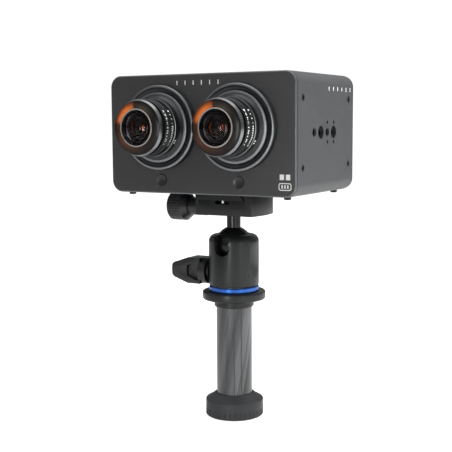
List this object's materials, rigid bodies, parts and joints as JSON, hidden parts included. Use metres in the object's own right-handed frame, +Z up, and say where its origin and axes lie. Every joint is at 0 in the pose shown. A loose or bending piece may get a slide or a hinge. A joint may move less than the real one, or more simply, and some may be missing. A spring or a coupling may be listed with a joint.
{
  "type": "stereo camera",
  "caption": "Box camera with paired fisheye lenses at eye spacing, on a dovetail clamp, a lockable ball head and the top of a carbon pole.",
  "frame": {"origin": "centre of the pole socket's mouth, on the pole's axis at the foot of the twist-lock collar", "axes": "+Z up along the pole, the lenses look along -Y, +X towards the side with the threaded sockets"},
  "size_m": [0.156, 0.1382, 0.2643],
  "materials": {
    "anodised_shell": "bead blasted, grey-black anodised",
    "anodised_plates": "bead blasted, black anodised",
    "black_anodised": "satin black anodised",
    "lens_black": "satin black anodised with white figures",
    "turned_silver": "turned bright aluminium",
    "blue_anodised": "bright blue anodised",
    "carbon_tube": "clear-coated carbon fibre laminate",
    "grip_plastic": "moulded black polyamide",
    "button_black": "satin black",
    "record_red": "gloss red",
    "steel": "zinc-plated steel",
    "black_screws": "black oxide steel",
    "bare_aluminium": "milled aluminium",
    "nylon": "natural nylon",
    "bronze": "turned bronze",
    "foot_rubber": "black rubber",
    "lens_glass": "coated optical glass",
    "lens_cells": "blackened cells with glass elements",
    "circuit_board": "green solder mask",
    "sensor_silicon": "silicon under cover glass",
    "battery_wrap": "grey wrap",
    "screen_glass": "black cover glass",
    "socket_metal": "nickel-plated socket shells"
  },
  "bodies": {
    "pole": {"lock_sleeve": "grip_plastic", "pole_tube": "carbon_tube", "tube_cap": "black_anodised", "base_disc": "black_anodised", "blue_ring": "blue_anodised", "head_stud": "steel", "pan_washer": "nylon"},
    "lock_collar": {"twist_collar": "grip_plastic"},
    "head": {"ball_housing": "black_anodised", "ball_seat": "nylon"},
    "lock_knob": {"lock_lever": "black_anodised", "lock_screw": "steel"},
    "cup": {"ball_cup": "bronze"},
    "ball": {"ball_stem": "black_anodised", "clamp_body": "black_anodised", "clamp_bolt": "steel"},
    "jaw": {"moving_jaw": "black_anodised", "jaw_guide_pins": "steel"},
    "knob": {"clamp_knob": "black_anodised", "clamp_screw": "steel"},
    "camera": {"dovetail_plate": "black_anodised", "plate_screw": "steel", "plate_stops": "steel", "feet": "foot_rubber", "camera_shell": "anodised_shell", "front_plate": "anodised_plates", "rear_panel": "anodised_plates", "side_screws": "black_screws", "side_block": "bare_aluminium", "tripod_bush": "steel", "lens_flange_left": "black_anodised", "lens_flange_right": "black_anodised", "lens_barrel_left": "turned_silver", "lens_barrel_right": "turned_silver", "front_bezel_left": "lens_black", "front_bezel_right": "lens_black", "glass_ring_left": "turned_silver", "glass_ring_right": "turned_silver", "front_glass_left": "lens_glass", "front_glass_right": "lens_glass", "lens_group_left": "lens_cells", "lens_group_right": "lens_cells", "image_sensors": "sensor_silicon", "sensor_boards": "circuit_board", "chassis": "bare_aluminium", "heat_sink": "bare_aluminium", "main_board": "circuit_board", "battery": "battery_wrap", "fan_frame": "grip_plastic", "rear_screen": "screen_glass", "port_block": "socket_metal"},
    "focus_left": {"focus_ring_left": "lens_black"},
    "focus_right": {"focus_ring_right": "lens_black"},
    "aperture_left": {"aperture_ring_left": "lens_black"},
    "aperture_right": {"aperture_ring_right": "lens_black"},
    "release_left": {"release_button_left": "button_black"},
    "release_right": {"release_button_right": "button_black"},
    "power_key": {"power_button": "button_black"},
    "record_key": {"record_button": "record_red"},
    "fan": {"fan_rotor": "grip_plastic"}
  },
  "joints": [
    {"name": "collar_twist", "type": "hinge", "parent": "pole", "child": "lock_collar", "pos_m": [0, 0, 0.008], "axis": [0, 0, 1], "range_deg": [-120, 0]},
    {"name": "head_pan", "type": "hinge", "parent": "pole", "child": "head", "pos_m": [0, 0, 0.103], "axis": [0, 0, 1], "continuous": true},
    {"name": "lock_turn", "type": "hinge", "parent": "head", "child": "lock_knob", "pos_m": [-0.03, 0, 0.1128], "axis": [-1, 0, 0], "range_deg": [0, 270]},
    {"name": "ball_side_tilt", "type": "hinge", "parent": "head", "child": "cup", "pos_m": [0, 0, 0.1348], "axis": [0, 1, 0], "range_deg": [-22, 22]},
    {"name": "ball_front_tilt", "type": "hinge", "parent": "cup", "child": "ball", "pos_m": [0, 0, 0.1348], "axis": [1, 0, 0], "range_deg": [-22, 90]},
    {"name": "jaw_slide", "type": "slide", "parent": "ball", "child": "jaw", "axis": [-1, 0, 0], "range_m": [0, 0.003]},
    {"name": "knob_turn", "type": "hinge", "parent": "jaw", "child": "knob", "pos_m": [-0.045, 0, 0.1634], "axis": [-1, 0, 0], "range_deg": [0, 1080]},
    {"name": "plate_slide", "type": "slide", "parent": "ball", "child": "camera", "axis": [0, 1, 0], "range_m": [-0.005, 0.005]},
    {"name": "focus_turn_left", "type": "hinge", "parent": "camera", "child": "focus_left", "pos_m": [-0.0325, -0.0673, 0.2256], "axis": [0, -1, 0], "range_deg": [-60, 60]},
    {"name": "aperture_turn_left", "type": "hinge", "parent": "camera", "child": "aperture_left", "pos_m": [-0.0325, -0.0732, 0.2256], "axis": [0, -1, 0], "range_deg": [-35, 35]},
    {"name": "release_press_left", "type": "slide", "parent": "camera", "child": "release_left", "axis": [0, 1, 0], "range_m": [0, 0.0015], "stiffness_N_per_m": 600, "springref_m": -0.001},
    {"name": "focus_turn_right", "type": "hinge", "parent": "camera", "child": "focus_right", "pos_m": [0.0325, -0.0673, 0.2256], "axis": [0, -1, 0], "range_deg": [-60, 60]},
    {"name": "aperture_turn_right", "type": "hinge", "parent": "camera", "child": "aperture_right", "pos_m": [0.0325, -0.0732, 0.2256], "axis": [0, -1, 0], "range_deg": [-35, 35]},
    {"name": "release_press_right", "type": "slide", "parent": "camera", "child": "release_right", "axis": [0, 1, 0], "range_m": [0, 0.0015], "stiffness_N_per_m": 600, "springref_m": -0.001},
    {"name": "power_press", "type": "slide", "parent": "camera", "child": "power_key", "axis": [0, -1, 0], "range_m": [0, 0.0012], "stiffness_N_per_m": 600, "springref_m": -0.001},
    {"name": "record_press", "type": "slide", "parent": "camera", "child": "record_key", "axis": [0, -1, 0], "range_m": [0, 0.0012], "stiffness_N_per_m": 600, "springref_m": -0.001},
    {"name": "fan_spin", "type": "hinge", "parent": "camera", "child": "fan", "pos_m": [0.046, 0.0423, 0.237], "axis": [0, 1, 0], "continuous": true}
  ],
  "couplings": [
    {"joint": "knob_turn", "follows": "jaw_slide", "rad_per_m": 6283.2}
  ]
}
